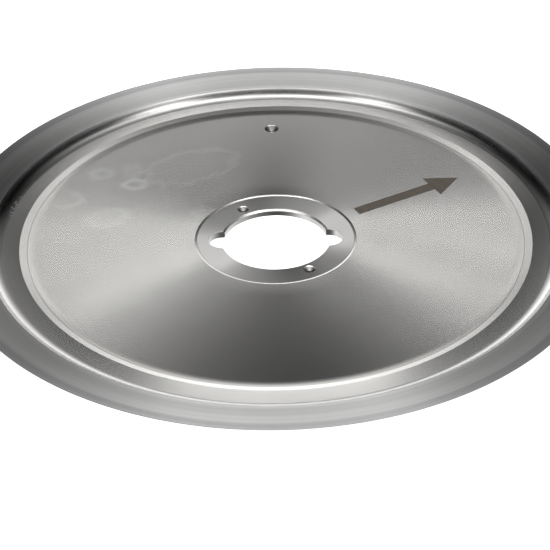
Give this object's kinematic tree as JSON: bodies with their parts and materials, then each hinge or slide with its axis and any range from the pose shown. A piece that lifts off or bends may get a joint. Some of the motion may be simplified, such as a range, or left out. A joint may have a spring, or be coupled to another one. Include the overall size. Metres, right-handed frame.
{
  "type": "food slicer blade",
  "caption": "Round dished stainless knife for a food slicer, with a ground edge, a cover recess, a central bore with opposed round notches and small countersunk holes.",
  "frame": {"origin": "on the knife's axis, at the hub's back face", "axes": "+Z along the axis towards the hollow side, +X through the first notch of the bore"},
  "size_m": [0.3302, 0.3302, 0.0126],
  "materials": {
    "steel": "turned and finely ground stainless steel, with a dark etched arrow"
  },
  "bodies": {
    "root": {"slicer_blade": "steel"}
  },
  "joints": []
}
